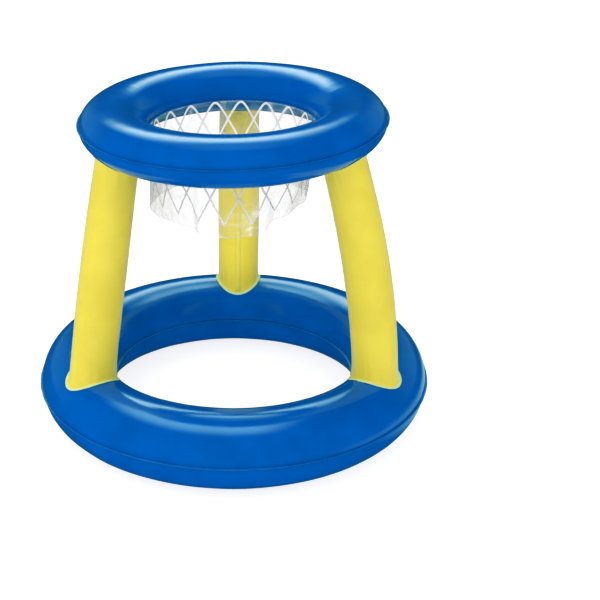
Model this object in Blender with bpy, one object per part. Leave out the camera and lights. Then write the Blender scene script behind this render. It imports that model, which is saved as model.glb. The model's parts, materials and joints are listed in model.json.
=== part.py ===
"""Floating basketball hoop: an inflated base ring, three inflated legs, an inflated top ring
and a clear film net that hangs inside the top ring.

Units are metres and +Z is up. The origin is on the floor at the centre of the base ring.
The front of the hoop faces -Y and one leg stands at the back, so +X is the hoop's right.
"""
import math
from typing import NamedTuple

import bmesh
import bpy
from mathutils import Matrix, Vector

# Sheet vinyl, the gap between pieces that touch, and the flat weld along each seam
VINYL_THICKNESS = 0.0003
CONTACT_GAP = 0.0003
SEAM_WIDTH = 0.003

# Base ring: a round tube that stands on the floor
BASE_RING_RADIUS = 0.2473
BASE_TUBE_RADIUS = 0.0577
FLOOR_FLATTENING = 0.0005

# Top ring: a flatter tube, rolled so that its outer seam sits higher than its inner one,
# and leaning a little to the front and to the left
TOP_RING_RADIUS = 0.1785
TOP_TUBE_HALF_WIDTH = 0.0511
TOP_TUBE_RISE = 0.0371
TOP_TUBE_DROP = 0.0354
TOP_TUBE_ROLL = math.radians(6.9)
TOP_RING_HEIGHT = 0.4716
TOP_RING_PITCH = math.radians(1.75)
TOP_RING_BANK = math.radians(-1.15)

# Legs: air tubes, a little fuller at the middle, bowed outwards, with a welded rim at each end
# that stands out past the wall and leaves a narrow ledge inside it
LEG_FOOT_RADIUS = 0.034
LEG_MIDDLE_RADIUS = 0.0352
LEG_HEAD_RADIUS = 0.0335
LEG_BOW = 0.004
LEG_HEAD_OFFSET_SHARE = 0.73
WELD_RIM_WIDTH = 0.003
WELD_RIM_LEDGE = 0.0005
AIR_PORT_RADIUS = 0.010

# Net: a clear film sleeve, plumb below the inner seam of the top ring, with soft folds
NET_HEIGHT = 0.127
NET_FOLD_DEPTH = 0.0035
NET_TUCK_DEPTH = 0.014
NET_TUCK_AZIMUTH = math.radians(-22)
NET_TUCK_SPREAD = math.radians(50)
NET_HEM_SETBACK = 0.0005

# Valves: a welded collar, a stem that pushes in, a plug on a strap and a check flap
VALVE_TRAVEL = 0.010
STEM_BORE_RADIUS = 0.004
STEM_WALL = 0.001
STEM_LIP_OVERHANG = 0.0015
STEM_LIP_THICKNESS = 0.0012
STEM_STOP_OVERHANG = 0.001
STEM_STOP_THICKNESS = 0.0008
COLLAR_RADIUS = 0.011
COLLAR_THICKNESS = 0.0008
COLLAR_NECK_WALL = 0.0015
COLLAR_NECK_HEIGHT = 0.0025
VALVE_CLEARANCE = 0.0003
PLUG_PLAY = 0.0005
PLUG_TIP_SHARE = 0.7
PLUG_DEPTH = 0.004
PLUG_HEAD_SETBACK = 0.001
PLUG_HEAD_THICKNESS = 0.001
PLUG_HINGE_DISTANCE = 0.010
STRAP_WIDTH = 0.003
STRAP_THICKNESS = 0.0008
FLAP_OVERLAP = 0.0006
FLAP_HINGE_MARGIN = 0.0006
FLAP_THICKNESS = 0.0005

# Facets: steps round a ring, along half a tube section, round a leg, round a valve piece
RING_STEPS = 40
ARC_STEPS = 10
LEG_SIDES = 20
LEG_STATIONS = 5
NET_COLUMNS = 60
NET_ROWS = 5
VALVE_SIDES = 18
STRAP_END_STEPS = 6
SMOOTHING_ANGLE = math.radians(40)

# The short step that gives a leg's axis its direction, as a share of the leg
AXIS_STEP_SHARE = 0.01

# How far a leg's wall runs on into a ring before it is cut, as a share of the rim's run
WALL_RUN_SHARE = 0.8

# The wall facets that the valves sit on, counted from the outer seam and round the ring
BASE_VALVE_FACET = (1, 5)
TOP_VALVE_FACET = (-2, 16)

# The net's folds, as (count round the ring, share of the fold depth, phase), and the power
# by which they deepen down the film
NET_FOLD_WAVES = ((5, 0.45, 0.6), (8, 0.7, 2.1), (13, 0.35, 4.0))
NET_FOLD_POWER = 1.5


class Ring(NamedTuple):
    """A tube bent to a ring, seen in section from its own centre plane."""
    radius: float
    half_width: float
    rise: float
    drop: float
    roll: float
    flattening: float


class Leg(NamedTuple):
    """Where one leg stands, where its head meets the top ring, and how far it bows."""
    name: str
    foot_azimuth: float
    head_azimuth: float
    bow_share: float


BASE_RING = Ring(BASE_RING_RADIUS, BASE_TUBE_RADIUS, BASE_TUBE_RADIUS, BASE_TUBE_RADIUS,
                 0.0, FLOOR_FLATTENING)
TOP_RING = Ring(TOP_RING_RADIUS, TOP_TUBE_HALF_WIDTH, TOP_TUBE_RISE, TOP_TUBE_DROP,
                TOP_TUBE_ROLL, 0.0)
LEGS = (
    Leg("leg_rear", math.radians(88), math.radians(87), 1.0),
    Leg("leg_left", math.radians(208.5), math.radians(208.5), 1.0),
    Leg("leg_right", math.radians(330), math.radians(326), 2.8),
)
BASE_FRAME = Matrix.Translation((0, 0, BASE_TUBE_RADIUS - FLOOR_FLATTENING))
TOP_FRAME = (Matrix.Translation((0, 0, TOP_RING_HEIGHT))
             @ Matrix.Rotation(TOP_RING_PITCH, 4, "X")
             @ Matrix.Rotation(TOP_RING_BANK, 4, "Y"))


def clear_scene():
    """Start from an empty scene."""
    for obj in list(bpy.data.objects):
        bpy.data.objects.remove(obj)


def vinyl(name, colour, roughness, alpha=1.0):
    """A plain material for one kind of vinyl."""
    material = bpy.data.materials.new(name)
    material.use_nodes = True
    shader = material.node_tree.nodes["Principled BSDF"]
    shader.inputs["Base Color"].default_value = (*colour, 1.0)
    shader.inputs["Roughness"].default_value = roughness
    shader.inputs["Metallic"].default_value = 0.0
    shader.inputs["Alpha"].default_value = alpha
    return material


def as_object(name, mesh_builder, material, matrix=Matrix.Identity(4), parent=None):
    """Turn a bmesh into a smooth-shaded object with one material."""
    bmesh.ops.recalc_face_normals(mesh_builder, faces=mesh_builder.faces)
    mesh = bpy.data.meshes.new(name)
    mesh_builder.to_mesh(mesh)
    mesh_builder.free()
    mesh.materials.append(material)
    mesh.shade_smooth()
    mesh.set_sharp_from_angle(angle=SMOOTHING_ANGLE)
    obj = bpy.data.objects.new(name, mesh)
    bpy.context.collection.objects.link(obj)
    obj.parent = parent
    obj.matrix_local = matrix
    return obj


def as_helper(obj):
    """Keep an object as a cutter or a guide only."""
    obj.hide_render = True
    obj.display_type = "WIRE"
    return obj


def combine(obj, operation, other):
    """Add a Boolean with another object."""
    modifier = obj.modifiers.new(f"{operation.lower()} {other.name}", "BOOLEAN")
    modifier.operation = operation
    modifier.object = other
    modifier.solver = "EXACT"


def bridged(rings, closed=False):
    """A skin over rings of points; the ends are capped unless the last ring meets the first."""
    builder = bmesh.new()
    rows = [[builder.verts.new(point) for point in ring] for ring in rings]
    pairs = list(zip(rows, rows[1:]))
    if closed:
        pairs.append((rows[-1], rows[0]))
    for row, following in pairs:
        for here in range(len(row)):
            there = (here + 1) % len(row)
            builder.faces.new((row[here], row[there], following[there], following[here]))
    if not closed:
        builder.faces.new(rows[0])
        builder.faces.new(rows[-1])
    return builder


def azimuth_direction(azimuth):
    """The level unit vector that points out from the axis at an azimuth."""
    return Vector((math.cos(azimuth), math.sin(azimuth), 0.0))


def section_point(ring, across, up):
    """Radius and height of a point that is given along and square to the tube's seam plane."""
    radius = ring.radius + across * math.cos(ring.roll) - up * math.sin(ring.roll)
    height = across * math.sin(ring.roll) + up * math.cos(ring.roll)
    return radius, height


def arc_angles(ring, side):
    """Angles from the outer seam to the inner one, over the top (+1) or underneath (-1)."""
    angles = [math.pi * step / ARC_STEPS for step in range(1, ARC_STEPS)]
    if side < 0 and ring.flattening > 0:
        reach = math.acos(1.0 - ring.flattening / ring.drop)
        middle = math.pi / 2
        angles = [angle for angle in angles if abs(angle - middle) > reach]
        angles += [middle - reach, middle + reach]
        angles.sort()
    return [side * angle for angle in angles]


def arc_point(ring, angle, inset):
    """A point of the tube's section at an angle, drawn in by an inset."""
    height = ring.rise if math.sin(angle) > 0 else ring.drop
    return section_point(ring, (ring.half_width - inset) * math.cos(angle),
                         (height - inset) * math.sin(angle))


def ring_point(ring, angle, azimuth):
    """A point of the tube's outer surface, in the ring's own frame."""
    radius, height = arc_point(ring, angle, 0.0)
    return azimuth_direction(azimuth) * radius + Vector((0, 0, height))


def revolved(profile):
    """A closed band with the given (radius, height) outline, turned through a full circle."""
    rings = []
    for step in range(RING_STEPS):
        direction = azimuth_direction(math.tau * step / RING_STEPS)
        rings.append([direction * radius + Vector((0, 0, height)) for radius, height in profile])
    return bridged(rings, closed=True)


def panel(name, ring, frame, side, material):
    """One half of a ring's tube wall, with the flat of its inner and outer welds."""
    seam_face = side * CONTACT_GAP / 2
    seam_back = seam_face + side * VINYL_THICKNESS
    inner_reach = ring.half_width - VINYL_THICKNESS
    weld_reach = ring.half_width + SEAM_WIDTH
    angles = arc_angles(ring, side)
    outline = [section_point(ring, weld_reach, seam_face),
               section_point(ring, weld_reach, seam_back),
               section_point(ring, ring.half_width, seam_back)]
    outline += [arc_point(ring, angle, 0.0) for angle in angles]
    outline += [section_point(ring, -ring.half_width, seam_back),
                section_point(ring, -weld_reach, seam_back),
                section_point(ring, -weld_reach, seam_face),
                section_point(ring, -inner_reach, seam_face)]
    outline += [arc_point(ring, angle, VINYL_THICKNESS) for angle in reversed(angles)]
    outline.append(section_point(ring, inner_reach, seam_face))
    return as_object(name, revolved(outline), material, frame)


def ring_form(name, ring, frame, offset, material):
    """The solid outer form of a ring, grown by an offset, for cutting what is welded to it."""
    angles = [math.pi * step / ARC_STEPS for step in range(2 * ARC_STEPS)]
    outline = [arc_point(ring, angle, -offset) for angle in angles]
    return as_helper(as_object(name, revolved(outline), material, frame))


def leg_head_reach():
    """Radius at which the legs meet the top ring, outwards of the middle of its tube."""
    room = TOP_TUBE_HALF_WIDTH - LEG_HEAD_RADIUS - WELD_RIM_WIDTH
    return TOP_RING_RADIUS + LEG_HEAD_OFFSET_SHARE * room


def leg_ends(leg):
    """The points where a leg's axis meets the base ring's crown and the top ring's underside."""
    foot = BASE_FRAME @ (azimuth_direction(leg.foot_azimuth) * BASE_RING_RADIUS
                         + Vector((0, 0, BASE_TUBE_RADIUS)))
    head = TOP_FRAME @ (azimuth_direction(leg.head_azimuth) * leg_head_reach()
                        - Vector((0, 0, TOP_TUBE_DROP)))
    return foot, head


def leg_axis_point(leg, share):
    """A point of a leg's bowed axis; share runs from 0 at the foot to 1 at the head."""
    foot, head = leg_ends(leg)
    outward = azimuth_direction((leg.foot_azimuth + leg.head_azimuth) / 2)
    bow = 4 * share * (1 - share) * LEG_BOW * leg.bow_share
    return foot.lerp(head, share) + outward * bow


def leg_radius(share):
    """The leg's outer radius along its axis, fuller at the middle."""
    ends = LEG_FOOT_RADIUS + (LEG_HEAD_RADIUS - LEG_FOOT_RADIUS) * share
    fullness = LEG_MIDDLE_RADIUS - (LEG_FOOT_RADIUS + LEG_HEAD_RADIUS) / 2
    return ends + 4 * share * (1 - share) * fullness


def leg_ring(leg, share, growth):
    """The circle of points round a leg's axis, square to it, grown past the leg's radius."""
    along = (leg_axis_point(leg, share + AXIS_STEP_SHARE)
             - leg_axis_point(leg, share - AXIS_STEP_SHARE)).normalized()
    sideways = azimuth_direction(leg.foot_azimuth + math.pi / 2)
    outward = sideways.cross(along).normalized()
    sideways = along.cross(outward)
    radius = leg_radius(share) + growth
    centre = leg_axis_point(leg, share)
    points = []
    for side in range(LEG_SIDES):
        angle = math.tau * side / LEG_SIDES
        points.append(centre + (outward * math.cos(angle) + sideways * math.sin(angle)) * radius)
    return points


def leg_sleeve(leg, shares, inner_growth, outer_growth):
    """A tube wall along part of a leg, between two distances from the leg's surface."""
    outer = [leg_ring(leg, share, outer_growth) for share in shares]
    inner = [leg_ring(leg, share, inner_growth) for share in reversed(shares)]
    return bridged(outer + inner, closed=True)


def leg_object(leg, forms, rim_forms, material):
    """One leg: its wall, run on into both rings, with a welded rim, cut to the rings' surfaces."""
    foot, head = leg_ends(leg)
    length = (head - foot).length
    low, high = LEG_FOOT_RADIUS / length, LEG_HEAD_RADIUS / length
    middle_shares = [low + (1 - high - low) * station / LEG_STATIONS
                     for station in range(LEG_STATIONS + 1)]
    wall_shares = [-low * WALL_RUN_SHARE, 0.0, *middle_shares, 1.0, 1 + high * WALL_RUN_SHARE]
    wall = leg_sleeve(leg, wall_shares, -VINYL_THICKNESS, 0.0)
    obj = as_object(leg.name, wall, material)
    for end, rim_shares in (("foot", (-low, 0.0, low)), ("head", (1 - high, 1.0, 1 + high))):
        sleeve = leg_sleeve(leg, rim_shares, -VINYL_THICKNESS - WELD_RIM_LEDGE, WELD_RIM_WIDTH)
        rim = as_helper(as_object(f"{leg.name}_{end}_rim", sleeve, material))
        combine(rim, "INTERSECT", rim_forms[end])
        combine(obj, "UNION", rim)
    for form in forms:
        combine(obj, "DIFFERENCE", form)
    return obj


def air_port_cutter(leg, material):
    """A rod through the top ring's wall, where air passes between the ring and a leg."""
    foot, head = leg_ends(leg)
    along = (head - foot).normalized()
    half = LEG_HEAD_RADIUS
    turn = along.to_track_quat("Z", "Y").to_matrix().to_4x4()
    rod = turned([(0.0, -half), (AIR_PORT_RADIUS, -half), (AIR_PORT_RADIUS, half), (0.0, half)])
    frame = Matrix.Translation(head) @ turn
    return as_helper(as_object(f"{leg.name}_air_port", rod, material, frame))


def net_fold(azimuth):
    """How far the net's lower edge stands out from plumb at an azimuth."""
    waves = sum(share * math.sin(count * azimuth + phase) for count, share, phase in NET_FOLD_WAVES)
    turn = (azimuth - NET_TUCK_AZIMUTH + math.pi) % math.tau - math.pi
    tuck = 0.0
    if abs(turn) < NET_TUCK_SPREAD:
        tuck = math.cos(turn / NET_TUCK_SPREAD * math.pi / 2) ** 2
    return NET_FOLD_DEPTH * waves - NET_TUCK_DEPTH * tuck


def top_ring_point(azimuth, across, up):
    """A point of the top ring's section, carried to an azimuth and leaning with the ring."""
    radius, height = section_point(TOP_RING, across, up)
    return TOP_FRAME @ (azimuth_direction(azimuth) * radius + Vector((0, 0, height)))


def film_drop(azimuth, share):
    """How far the film runs down and sways outwards, from 0 at its hem to 1 at its lower edge."""
    sway = net_fold(azimuth) * share ** NET_FOLD_POWER
    return azimuth_direction(azimuth) * sway - Vector((0, 0, NET_HEIGHT * share))


def net_object(material):
    """The film sleeve, with a flat hem below the top ring's inner weld."""
    hem_top = -(CONTACT_GAP / 2 + VINYL_THICKNESS + CONTACT_GAP)
    hem_under = hem_top - VINYL_THICKNESS
    face = -(TOP_TUBE_HALF_WIDTH + SEAM_WIDTH)
    hem_end = -(TOP_TUBE_HALF_WIDTH + NET_HEM_SETBACK)
    shares = [row / NET_ROWS for row in range(1, NET_ROWS + 1)]
    columns = []
    for column in range(NET_COLUMNS):
        azimuth = math.tau * column / NET_COLUMNS
        inside = top_ring_point(azimuth, face, hem_top)
        outside = inside + azimuth_direction(azimuth) * VINYL_THICKNESS
        columns.append([
            top_ring_point(azimuth, hem_end, hem_top),
            inside,
            *[inside + film_drop(azimuth, share) for share in shares],
            *[outside + film_drop(azimuth, share) for share in reversed(shares)],
            top_ring_point(azimuth, face + VINYL_THICKNESS, hem_under),
            top_ring_point(azimuth, hem_end, hem_under),
        ])
    return as_object("net_film", bridged(columns, closed=True), material)


def turned(profile):
    """A closed solid turned about Z from an outline whose points on the axis have radius 0."""
    builder = bmesh.new()
    rows = []
    for radius, height in profile:
        if radius == 0:
            rows.append([builder.verts.new((0, 0, height))] * VALVE_SIDES)
        else:
            turns = [azimuth_direction(math.tau * side / VALVE_SIDES) * radius
                     for side in range(VALVE_SIDES)]
            rows.append([builder.verts.new(turn + Vector((0, 0, height))) for turn in turns])
    ring_pairs = zip(rows, rows[1:] + rows[:1])
    for row, following in ring_pairs:
        for here in range(VALVE_SIDES):
            there = (here + 1) % VALVE_SIDES
            corners = []
            for corner in (row[here], row[there], following[there], following[here]):
                if corner not in corners:
                    corners.append(corner)
            if len(corners) > 2:
                builder.faces.new(corners)
    return builder


def strap(near, far, thickness, width):
    """A flat bar along X whose end at the origin is rounded about Y, as a bending root is."""
    outline = [(near, -thickness / 2), (far, -thickness / 2), (far, thickness / 2),
               (near, thickness / 2)]
    for step in range(1, STRAP_END_STEPS):
        angle = math.pi / 2 + math.pi * step / STRAP_END_STEPS
        outline.append((near + thickness / 2 * math.cos(angle), thickness / 2 * math.sin(angle)))
    sides = [[(x, side * width / 2, z) for x, z in outline] for side in (-1, 1)]
    return bridged(sides)


def facet_frame(ring, frame, facet):
    """The middle of a facet of a ring's wall: Z out of the wall, X along the ring."""
    arc_step, turn_step = facet
    angles = [math.pi * (arc_step + end) / ARC_STEPS for end in (0, 1)]
    azimuths = [math.tau * (turn_step + end) / RING_STEPS for end in (0, 1)]
    corners = [[ring_point(ring, angle, azimuth) for azimuth in azimuths] for angle in angles]
    centre = sum((corner for row in corners for corner in row), Vector()) / 4
    along = (corners[0][1] - corners[0][0]).normalized()
    up_wall = corners[1][0] - corners[0][0]
    normal = along.cross(up_wall).normalized()
    across = normal.cross(along)
    turn = Matrix((along, across, normal)).transposed().to_4x4()
    return frame @ Matrix.Translation(centre) @ turn


def valve(prefix, seat, wall, material):
    """One inflation valve on a flat of a ring's wall, and the hole for it in that wall."""
    base = bpy.data.objects.new(f"{prefix}_seat", None)
    bpy.context.collection.objects.link(base)
    base.matrix_world = seat
    stem_radius = STEM_BORE_RADIUS + STEM_WALL
    bore = stem_radius + VALVE_CLEARANCE
    neck_radius = bore + COLLAR_NECK_WALL
    neck_top = CONTACT_GAP + COLLAR_NECK_HEIGHT
    flange_top = CONTACT_GAP + COLLAR_THICKNESS

    hole = turned([(0.0, -bore), (bore, -bore), (bore, bore), (0.0, bore)])
    cutter = as_helper(as_object(f"{prefix}_hole", hole, material, parent=base))
    combine(wall, "DIFFERENCE", cutter)

    collar = turned([(bore, CONTACT_GAP), (COLLAR_RADIUS, CONTACT_GAP),
                     (COLLAR_RADIUS, flange_top), (neck_radius, flange_top),
                     (neck_radius, neck_top), (bore, neck_top)])
    as_object(f"{prefix}_collar", collar, material, parent=base)

    lip_radius = stem_radius + STEM_LIP_OVERHANG
    lip_under = neck_top + CONTACT_GAP
    lip_top = lip_under + STEM_LIP_THICKNESS
    stop_radius = stem_radius + STEM_STOP_OVERHANG
    stop_top = -(VINYL_THICKNESS + CONTACT_GAP + VALVE_TRAVEL)
    stop_under = stop_top - STEM_STOP_THICKNESS
    stem = turned([(STEM_BORE_RADIUS, stop_under), (stop_radius, stop_under),
                   (stop_radius, stop_top), (stem_radius, stop_top), (stem_radius, lip_under),
                   (lip_radius, lip_under), (lip_radius, lip_top), (STEM_BORE_RADIUS, lip_top)])
    stem_object = as_object(f"{prefix}_stem", stem, material, parent=base)
    ear_middle = (lip_under + lip_top) / 2
    ear_end = PLUG_HINGE_DISTANCE + STRAP_THICKNESS / 2
    ear_root = (STEM_BORE_RADIUS + lip_radius) / 2
    ear = strap(-ear_end, -ear_root, STEM_LIP_THICKNESS, STRAP_WIDTH)
    ear_object = as_object(f"{prefix}_ear", ear, material,
                           Matrix.Translation((0, 0, ear_middle)), parent=base)
    combine(stem_object, "UNION", as_helper(ear_object))

    plug_radius = STEM_BORE_RADIUS - PLUG_PLAY
    tip_radius = STEM_BORE_RADIUS * PLUG_TIP_SHARE
    head_radius = lip_radius - PLUG_HEAD_SETBACK
    head_under = -STRAP_THICKNESS / 2
    head_top = head_under + PLUG_HEAD_THICKNESS
    tip = head_under - CONTACT_GAP - PLUG_DEPTH
    plug = turned([(0.0, tip), (tip_radius, tip), (plug_radius, head_under),
                   (head_radius, head_under), (head_radius, head_top), (0.0, head_top)])
    bmesh.ops.translate(plug, verts=plug.verts, vec=(PLUG_HINGE_DISTANCE, 0, 0))
    hinge_height = lip_top + CONTACT_GAP + STRAP_THICKNESS / 2
    plug_place = Matrix.Translation((-PLUG_HINGE_DISTANCE, 0, hinge_height))
    plug_object = as_object(f"{prefix}_plug", plug, material, plug_place, parent=base)
    plug_strap = strap(0.0, PLUG_HINGE_DISTANCE - tip_radius, STRAP_THICKNESS, STRAP_WIDTH)
    strap_object = as_object(f"{prefix}_strap", plug_strap, material, plug_place, parent=base)
    combine(plug_object, "UNION", as_helper(strap_object))

    flap_radius = STEM_BORE_RADIUS + FLAP_OVERLAP
    flap_reach = flap_radius + FLAP_HINGE_MARGIN
    flap_height = stop_under - CONTACT_GAP - FLAP_THICKNESS / 2
    flap_half = FLAP_THICKNESS / 2
    flap = turned([(0.0, -flap_half), (flap_radius, -flap_half), (flap_radius, flap_half),
                   (0.0, flap_half)])
    bmesh.ops.translate(flap, verts=flap.verts, vec=(flap_reach, 0, 0))
    flap_place = Matrix.Translation((-flap_reach, 0, flap_height))
    flap_object = as_object(f"{prefix}_flap", flap, material, flap_place, parent=base)
    tongue = strap(0.0, flap_reach, FLAP_THICKNESS, STRAP_WIDTH)
    tongue_object = as_object(f"{prefix}_tongue", tongue, material, flap_place, parent=base)
    combine(flap_object, "UNION", as_helper(tongue_object))


def build():
    """Make every piece of the hoop."""
    clear_scene()
    blue = vinyl("blue_vinyl", (0.0, 0.09, 0.43), 0.28)
    yellow = vinyl("yellow_vinyl", (0.83, 0.71, 0.08), 0.32)
    film = vinyl("clear_film", (0.85, 0.9, 0.95), 0.15, alpha=0.35)
    valve_vinyl = vinyl("valve_vinyl", (0.75, 0.78, 0.8), 0.35)

    base_upper = panel("base_ring_upper_panel", BASE_RING, BASE_FRAME, 1, blue)
    panel("base_ring_lower_panel", BASE_RING, BASE_FRAME, -1, blue)
    panel("top_ring_upper_panel", TOP_RING, TOP_FRAME, 1, blue)
    top_lower = panel("top_ring_lower_panel", TOP_RING, TOP_FRAME, -1, blue)

    rim_offset = CONTACT_GAP + VINYL_THICKNESS
    forms = (ring_form("base_form", BASE_RING, BASE_FRAME, CONTACT_GAP, blue),
             ring_form("top_form", TOP_RING, TOP_FRAME, CONTACT_GAP, blue))
    rim_forms = {"foot": ring_form("base_rim_form", BASE_RING, BASE_FRAME, rim_offset, blue),
                 "head": ring_form("top_rim_form", TOP_RING, TOP_FRAME, rim_offset, blue)}
    for leg in LEGS:
        leg_object(leg, forms, rim_forms, yellow)
        combine(top_lower, "DIFFERENCE", air_port_cutter(leg, yellow))
    net_object(film)

    valve("base_valve", facet_frame(BASE_RING, BASE_FRAME, BASE_VALVE_FACET), base_upper,
          valve_vinyl)
    valve("top_valve", facet_frame(TOP_RING, TOP_FRAME, TOP_VALVE_FACET), top_lower,
          valve_vinyl)


build()
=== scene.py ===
import json
import math

import bmesh
import bpy
from mathutils import Matrix, Vector
from mathutils.bvhtree import BVHTree


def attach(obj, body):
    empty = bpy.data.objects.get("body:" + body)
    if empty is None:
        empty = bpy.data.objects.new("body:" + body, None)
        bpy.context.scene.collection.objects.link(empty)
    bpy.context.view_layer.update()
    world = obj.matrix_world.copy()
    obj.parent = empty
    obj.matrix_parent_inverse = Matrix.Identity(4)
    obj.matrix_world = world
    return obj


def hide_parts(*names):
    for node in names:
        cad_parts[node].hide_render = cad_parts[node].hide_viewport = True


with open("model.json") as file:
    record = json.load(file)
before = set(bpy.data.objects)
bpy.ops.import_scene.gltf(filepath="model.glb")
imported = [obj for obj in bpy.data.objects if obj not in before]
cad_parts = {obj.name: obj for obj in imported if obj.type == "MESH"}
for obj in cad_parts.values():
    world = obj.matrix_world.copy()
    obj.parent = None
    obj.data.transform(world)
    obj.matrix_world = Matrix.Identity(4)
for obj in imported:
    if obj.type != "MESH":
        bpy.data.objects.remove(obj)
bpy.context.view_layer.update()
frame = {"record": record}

# The photograph's view: a camera in front of the hoop and half a metre above its top ring, that
# looks down at it. The distances are real ones, found by laying both rings' outlines over the
# photograph, and the shift only carries the picture's own framing.
CAMERA_DISTANCE = 2.1649
CAMERA_RISE = 0.4968
CAMERA_TURN = -0.0043
CAMERA_PITCH = 0.3894
CAMERA_ROLL = -0.0058
FOCAL_PIXELS = 1324.83
AIM_PIXEL = (228.07, 258.49)
PHOTO_PIXELS = 600
SENSOR_MM = 36.0
CLIP_END = 200.0
FLOOR_FLATTENING = 0.0005

# The photograph's tone: its blues hold hardly any red.
BLACK_LEVEL = (0.0075, 0.0, 0.0)
RED_CURVE = ((0.064, 0.022), (0.158, 0.078), (0.25, 0.175), (0.37, 0.325), (0.5, 0.49))


def linked(name, data):
    """A new object of the scene, with its mesh, camera or light."""
    made = bpy.data.objects.new(name, data)
    bpy.context.collection.objects.link(made)
    return made


def add_camera():
    """The camera of the photograph, as the scene's camera."""
    data = bpy.data.cameras.new("photo_camera")
    camera = linked("photo_camera", data)
    forward = Vector((math.sin(CAMERA_TURN) * math.cos(CAMERA_PITCH),
                      math.cos(CAMERA_TURN) * math.cos(CAMERA_PITCH), -math.sin(CAMERA_PITCH)))
    level_right = Vector((math.cos(CAMERA_TURN), -math.sin(CAMERA_TURN), 0.0))
    up = level_right.cross(forward)
    turn = Matrix((level_right, up, -forward)).transposed().to_4x4()
    place = Vector((0.0, -CAMERA_DISTANCE * math.cos(CAMERA_RISE),
                    CAMERA_DISTANCE * math.sin(CAMERA_RISE) - FLOOR_FLATTENING))
    camera.matrix_world = (Matrix.Translation(place) @ turn
                           @ Matrix.Rotation(CAMERA_ROLL, 4, "Z"))
    data.sensor_width = SENSOR_MM
    data.lens = FOCAL_PIXELS / PHOTO_PIXELS * SENSOR_MM
    data.shift_x = (PHOTO_PIXELS / 2 - AIM_PIXEL[0]) / PHOTO_PIXELS
    data.shift_y = (AIM_PIXEL[1] - PHOTO_PIXELS / 2) / PHOTO_PIXELS
    data.clip_end = CLIP_END
    bpy.context.scene.camera = camera


def set_tone():
    """Plain display colours, with the dark reds drawn down."""
    view = bpy.context.scene.view_settings
    view.view_transform = "Standard"
    view.use_curve_mapping = True
    view.curve_mapping.black_level = BLACK_LEVEL
    for place in RED_CURVE:
        view.curve_mapping.curves[0].points.new(*place)
    view.curve_mapping.update()


add_camera()
set_tone()


# The floor and the light: a plain pale floor in a white studio. Soft light comes from the front
# left, with a narrow fill for the rear leg. What the glossy vinyl mirrors is a tall window at the
# back and a ring of lights level with the top ring. None of it is part of the hoop.
FLOOR_HALF_SIZE = 30.0
FLOOR_SEEN = 0.36
FLOOR_SEEN_GLOW = 0.80
FLOOR_BOUNCE = 0.85
FLOOR_BOUNCE_GLOW = 0.40
FLOOR_MIRRORED = 0.06
FLOOR_MIRRORED_RIGHT = 0.80
FLOOR_MIRRORED_MIDDLE = 0.28
MIDDLE_REACH = (0.06, 0.16)
RIGHT_NEAR = (0.26, 0.33)
RIGHT_FAR = (0.42, 0.55)

MIRROR_TINT = (0.76, 1.0, 0.85)
WINDOW_AZIMUTH = math.radians(-6)
WINDOW_HALF_WIDTH = (0.10, 0.40)
WINDOW_SILL = (0.42, 0.59)
WINDOW_TOP = (0.70, 0.87)
WINDOW_TOP_SHARE = 0.14
WINDOW_BACK = (-0.02, 0.2)
WINDOW_GLOW = 6.4
WALL_BACK = (0.1, 0.7)
WALL_TOP = (0.3, 0.7)
WALL_SIDES = (0.2, 0.45)
WALL_MIDDLE_SHARE = 0.15
WALL_GLOW = 0.35

RING_LIGHT_HEIGHT = 0.452
RING_LIGHT_INSIDE = (0.258, 0.268)
RING_LIGHT_OUTSIDE = (0.31, 0.48)
RING_LIGHT_RIGHT = (0.06, 0.24)
RING_LIGHT_BACK = (0.1, 0.25)
RING_LIGHT_GRID = (0.13, 0.30)
RING_LIGHT_GLOW = 5.4

LIGHT_FROM = (-0.60, -0.74, 0.26)
LIGHT_SPREAD = (-0.3, 1.0)
LIGHT_EVEN = 0.88
LIGHT_AIMED = 0.75
FILL_PLACE = (0.0, -0.60, 0.17)
FILL_AIM = (0.0, 0.247, 0.295)
FILL_WATTS = 10.5
FILL_CONE = math.radians(27)
FILL_SOFTNESS = 0.5
FILL_RADIUS = 0.04


class Field:
    """A number worked out by nodes, so that a tree's formula reads as plain arithmetic."""

    def __init__(self, tree, socket):
        self.tree = tree
        self.socket = socket

    def apply(self, operation, *others):
        """The result of a math node on this field and up to two more fields or numbers."""
        node = self.tree.nodes.new("ShaderNodeMath")
        node.operation = operation
        for place, value in zip(node.inputs, (self, *others)):
            if isinstance(value, Field):
                self.tree.links.new(value.socket, place)
            else:
                place.default_value = value
        return Field(self.tree, node.outputs[0])

    def __add__(self, other):
        return self.apply("ADD", other)

    def __sub__(self, other):
        return self.apply("SUBTRACT", other)

    def __rsub__(self, other):
        return self.apply("MULTIPLY_ADD", -1.0, other)

    def __mul__(self, other):
        return self.apply("MULTIPLY", other)

    def __neg__(self):
        return self.apply("MULTIPLY", -1.0)

    def __truediv__(self, other):
        return self.apply("DIVIDE", other)

    def __rtruediv__(self, other):
        return (self ** -1.0) * other

    def __pow__(self, other):
        return self.apply("POWER", other)

    __radd__ = __add__

    def sin(self):
        return self.apply("SINE")

    def cos(self):
        return self.apply("COSINE")

    def magnitude(self):
        return self.apply("ABSOLUTE")

    def clamped(self, low, high):
        return self.apply("MAXIMUM", low).apply("MINIMUM", high)

    def smooth(self, low, high):
        """A smooth rise from 0 to 1 as the field goes from low to high."""
        share = ((self - low) / (high - low)).clamped(0.0, 1.0)
        return share * share * (3.0 - share * 2.0)


def joined(x, y, z):
    """A place from three fields or numbers; x is a field."""
    node = x.tree.nodes.new("ShaderNodeCombineXYZ")
    for place, value in zip(node.inputs, (x, y, z)):
        if isinstance(value, Field):
            x.tree.links.new(value.socket, place)
        else:
            place.default_value = value
    return node.outputs["Vector"]


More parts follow.
